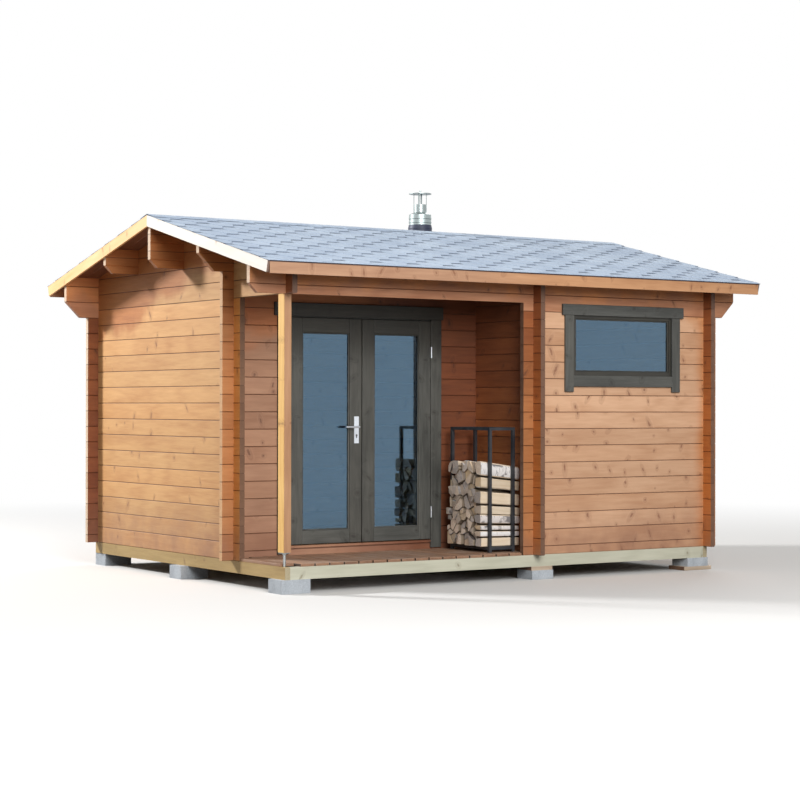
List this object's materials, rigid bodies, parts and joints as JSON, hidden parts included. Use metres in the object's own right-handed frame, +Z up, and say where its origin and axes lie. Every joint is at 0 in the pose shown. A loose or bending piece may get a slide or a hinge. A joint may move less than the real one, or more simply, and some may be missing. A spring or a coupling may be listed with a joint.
{
  "type": "sauna cabin",
  "caption": "Small log sauna cabin with a low gabled shingle roof, a recessed corner porch with glazed double doors, a wide window and a flue.",
  "frame": {"origin": "on the ground, under the middle of the plan", "axes": "+X along the ridge to the window end, -Y out of the front, +Z up"},
  "size_m": [4.9, 3.954, 3.3598],
  "materials": {
    "concrete": "rough cast",
    "grey_timber": "rough sawn, weathered",
    "treated_timber": "planed, pale green-grey preservative",
    "deck_wood": "stained, worn",
    "floor_wood": "planed",
    "log_wood": "orange-brown stain, satin",
    "post_wood": "orange-brown stain, satin",
    "galvanised_steel": "zinc plated",
    "board_wood": "stained underside",
    "bitumen_shingle": "mineral granules",
    "trim_wood": "orange-brown stain, satin",
    "stained_wood": "dark grey-green stain, satin",
    "window_glass": "clear",
    "handle_steel": "satin",
    "hinge_steel": "zinc plated",
    "flue_steel": "satin stainless",
    "flashing_metal": "dark coating",
    "rack_steel": "black coating, satin",
    "firewood_wood": "split, with bark"
  },
  "bodies": {
    "cabin": {"foundation_blocks": "concrete", "packing_planks": "grey_timber", "bearers": "treated_timber", "joists": "treated_timber", "porch_deck": "deck_wood", "floor_boards": "floor_wood", "wall_left": "log_wood", "wall_right": "log_wood", "gable_peaks": "log_wood", "wall_back": "log_wood", "wall_front_sides": "log_wood", "wall_front_below": "log_wood", "eaves_logs": "log_wood", "purlins": "log_wood", "porch_wall_sides": "log_wood", "porch_wall_top": "log_wood", "porch_side_wall": "log_wood", "porch_post": "post_wood", "post_foot": "galvanised_steel", "roof_boards": "board_wood", "roof_covering": "bitumen_shingle", "ridge_cap": "bitumen_shingle", "rake_boards": "trim_wood", "eaves_fascias": "trim_wood", "door_frame": "stained_wood", "door_casing": "stained_wood", "door_sill": "log_wood", "hinge_pins": "hinge_steel", "window_frame": "stained_wood", "window_pane": "window_glass", "window_casing": "stained_wood", "flue_pipe": "flue_steel", "flue_top": "flue_steel", "flue_flashing": "flashing_metal", "rack_posts": "rack_steel", "rack_rails": "rack_steel", "firewood": "firewood_wood"},
    "left_leaf": {"door_left": "stained_wood", "pane_left": "window_glass", "handle_plates": "handle_steel", "left_knuckles": "hinge_steel"},
    "right_leaf": {"door_right": "stained_wood", "pane_right": "window_glass", "right_knuckles": "hinge_steel"},
    "lever": {"lever_handle": "handle_steel"}
  },
  "joints": [
    {"name": "left_door_hinge", "type": "hinge", "parent": "cabin", "child": "left_leaf", "pos_m": [-1.6205, -0.887, 1.2], "axis": [0, 0, -1], "range_deg": [0, 100]},
    {"name": "right_door_hinge", "type": "hinge", "parent": "cabin", "child": "right_leaf", "pos_m": [-0.2555, -0.887, 1.2], "axis": [0, 0, 1], "range_deg": [0, 90]},
    {"name": "lever_turn", "type": "hinge", "parent": "left_leaf", "child": "lever", "pos_m": [-0.994, -0.88, 1.242], "axis": [0, -1, 0], "range_deg": [0, 35], "stiffness_Nm_per_rad": 1.2, "springref_deg": -17.19}
  ]
}
